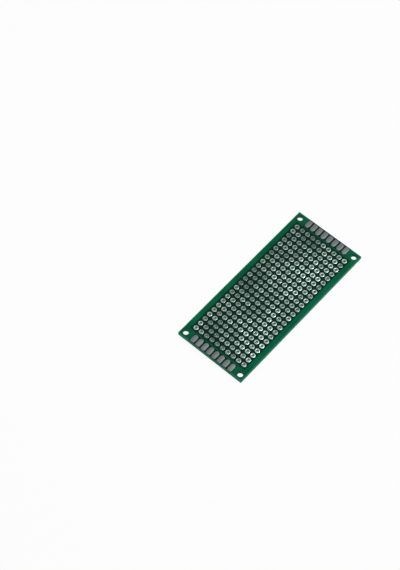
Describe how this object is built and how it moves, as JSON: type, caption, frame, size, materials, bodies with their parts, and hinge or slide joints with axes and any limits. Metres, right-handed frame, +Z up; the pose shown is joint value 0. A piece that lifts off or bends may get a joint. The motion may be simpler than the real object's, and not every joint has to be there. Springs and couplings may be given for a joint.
{
  "type": "prototype board",
  "caption": "Green double-sided prototype board with a grid of tinned plated-through holes, oblong solder pads along both short ends and a plain mounting hole in each corner.",
  "frame": {"origin": "middle of the board's underside, in the plane of the faces of its tinned pads", "axes": "+X along the board's length, +Y across its width, +Z up, out of the top face"},
  "size_m": [0.07, 0.03, 0.0016],
  "materials": {
    "glass_epoxy": "matte",
    "solder_mask": "satin",
    "edge_tin": "matte",
    "ring_tin": "satin"
  },
  "bodies": {
    "root": {"rigid_laminate": "glass_epoxy", "solder_mask_top": "solder_mask", "solder_mask_bottom": "solder_mask", "edge_pads_left_top": "edge_tin", "edge_pads_left_bottom": "edge_tin", "edge_pads_right_top": "edge_tin", "edge_pads_right_bottom": "edge_tin", "plated_holes_front_01": "ring_tin", "plated_holes_front_02": "ring_tin", "plated_holes_front_03": "ring_tin", "plated_holes_front_04": "ring_tin", "plated_holes_front_05": "ring_tin", "plated_holes_front_06": "ring_tin", "plated_holes_front_07": "ring_tin", "plated_holes_front_08": "ring_tin", "plated_holes_front_09": "ring_tin", "plated_holes_front_10": "ring_tin", "plated_holes_front_11": "ring_tin", "plated_holes_front_12": "ring_tin", "plated_holes_back_01": "ring_tin", "plated_holes_back_02": "ring_tin", "plated_holes_back_03": "ring_tin", "plated_holes_back_04": "ring_tin", "plated_holes_back_05": "ring_tin", "plated_holes_back_06": "ring_tin", "plated_holes_back_07": "ring_tin", "plated_holes_back_08": "ring_tin", "plated_holes_back_09": "ring_tin", "plated_holes_back_10": "ring_tin", "plated_holes_back_11": "ring_tin", "plated_holes_back_12": "ring_tin"}
  },
  "joints": []
}
